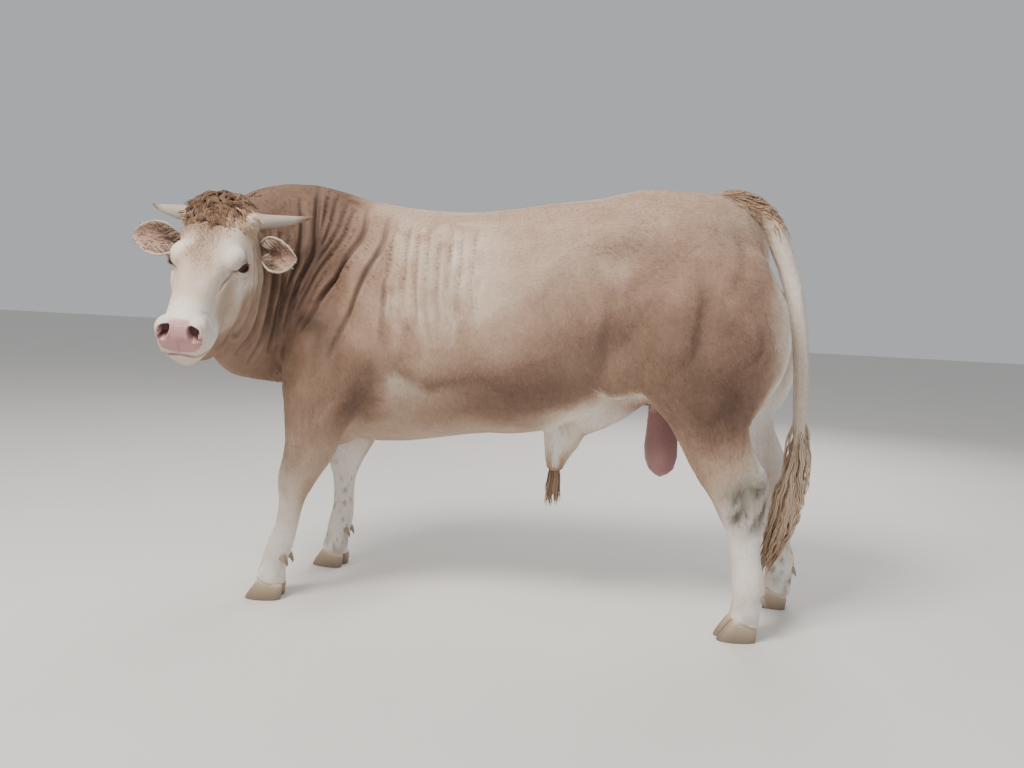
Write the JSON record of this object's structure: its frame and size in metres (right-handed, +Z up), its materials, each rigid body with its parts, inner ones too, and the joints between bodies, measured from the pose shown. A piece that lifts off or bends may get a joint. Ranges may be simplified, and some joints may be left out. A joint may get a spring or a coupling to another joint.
{
  "type": "bull",
  "caption": "Life-size still model of a pale fawn beef bull standing with its head turned to its left, with short horns, curly poll and a long tail switch",
  "frame": {"origin": "on the floor under the middle of the bull's bounding box, at the level of its soles", "axes": "+X runs from head to tail along the back, +Y to the bull's right, +Z up; the bull faces -X and its head is turned to -Y"},
  "size_m": [2.3292, 1.147, 1.5117],
  "materials": {
    "body_coat": "short fawn coat, wheat to reddish tan",
    "leg_coat": "short cream-white coat of the lower legs",
    "ear_coat": "cream coat with a pinkish cup",
    "tail_coat": "short cream coat",
    "sheath_coat": "white coat",
    "poll_curls": "curly red-brown hair",
    "switch_hair": "long wavy blond-brown hair",
    "scrotum_skin": "bare pink skin, satin",
    "horn_keratin": "pale grey-cream horn, satin",
    "hoof_horn": "light brown hoof horn, matt",
    "eye_surface": "dark brown wet eye, glossy"
  },
  "bodies": {
    "root": {"ear_left": "ear_coat", "ear_right": "ear_coat", "eye_left": "eye_surface", "eye_right": "eye_surface", "fore_left_claw_inner": "hoof_horn", "fore_left_claw_outer": "hoof_horn", "fore_left_dewclaw_inner": "hoof_horn", "fore_left_dewclaw_outer": "hoof_horn", "fore_left_leg": "body_coat", "fore_left_shank": "leg_coat", "fore_right_claw_inner": "hoof_horn", "fore_right_claw_outer": "hoof_horn", "fore_right_dewclaw_inner": "hoof_horn", "fore_right_dewclaw_outer": "hoof_horn", "fore_right_leg": "body_coat", "fore_right_shank": "leg_coat", "head": "body_coat", "hind_left_claw_inner": "hoof_horn", "hind_left_claw_outer": "hoof_horn", "hind_left_dewclaw_inner": "hoof_horn", "hind_left_dewclaw_outer": "hoof_horn", "hind_left_leg": "body_coat", "hind_left_shank": "leg_coat", "hind_right_claw_inner": "hoof_horn", "hind_right_claw_outer": "hoof_horn", "hind_right_dewclaw_inner": "hoof_horn", "hind_right_dewclaw_outer": "hoof_horn", "hind_right_leg": "body_coat", "hind_right_shank": "leg_coat", "hindquarters": "body_coat", "horn_left": "horn_keratin", "horn_right": "horn_keratin", "neck": "body_coat", "poll_hair": "poll_curls", "scrotum": "scrotum_skin", "sheath": "sheath_coat", "sheath_hair": "switch_hair", "tail": "tail_coat", "tail_switch": "switch_hair", "torso": "body_coat"}
  },
  "joints": []
}
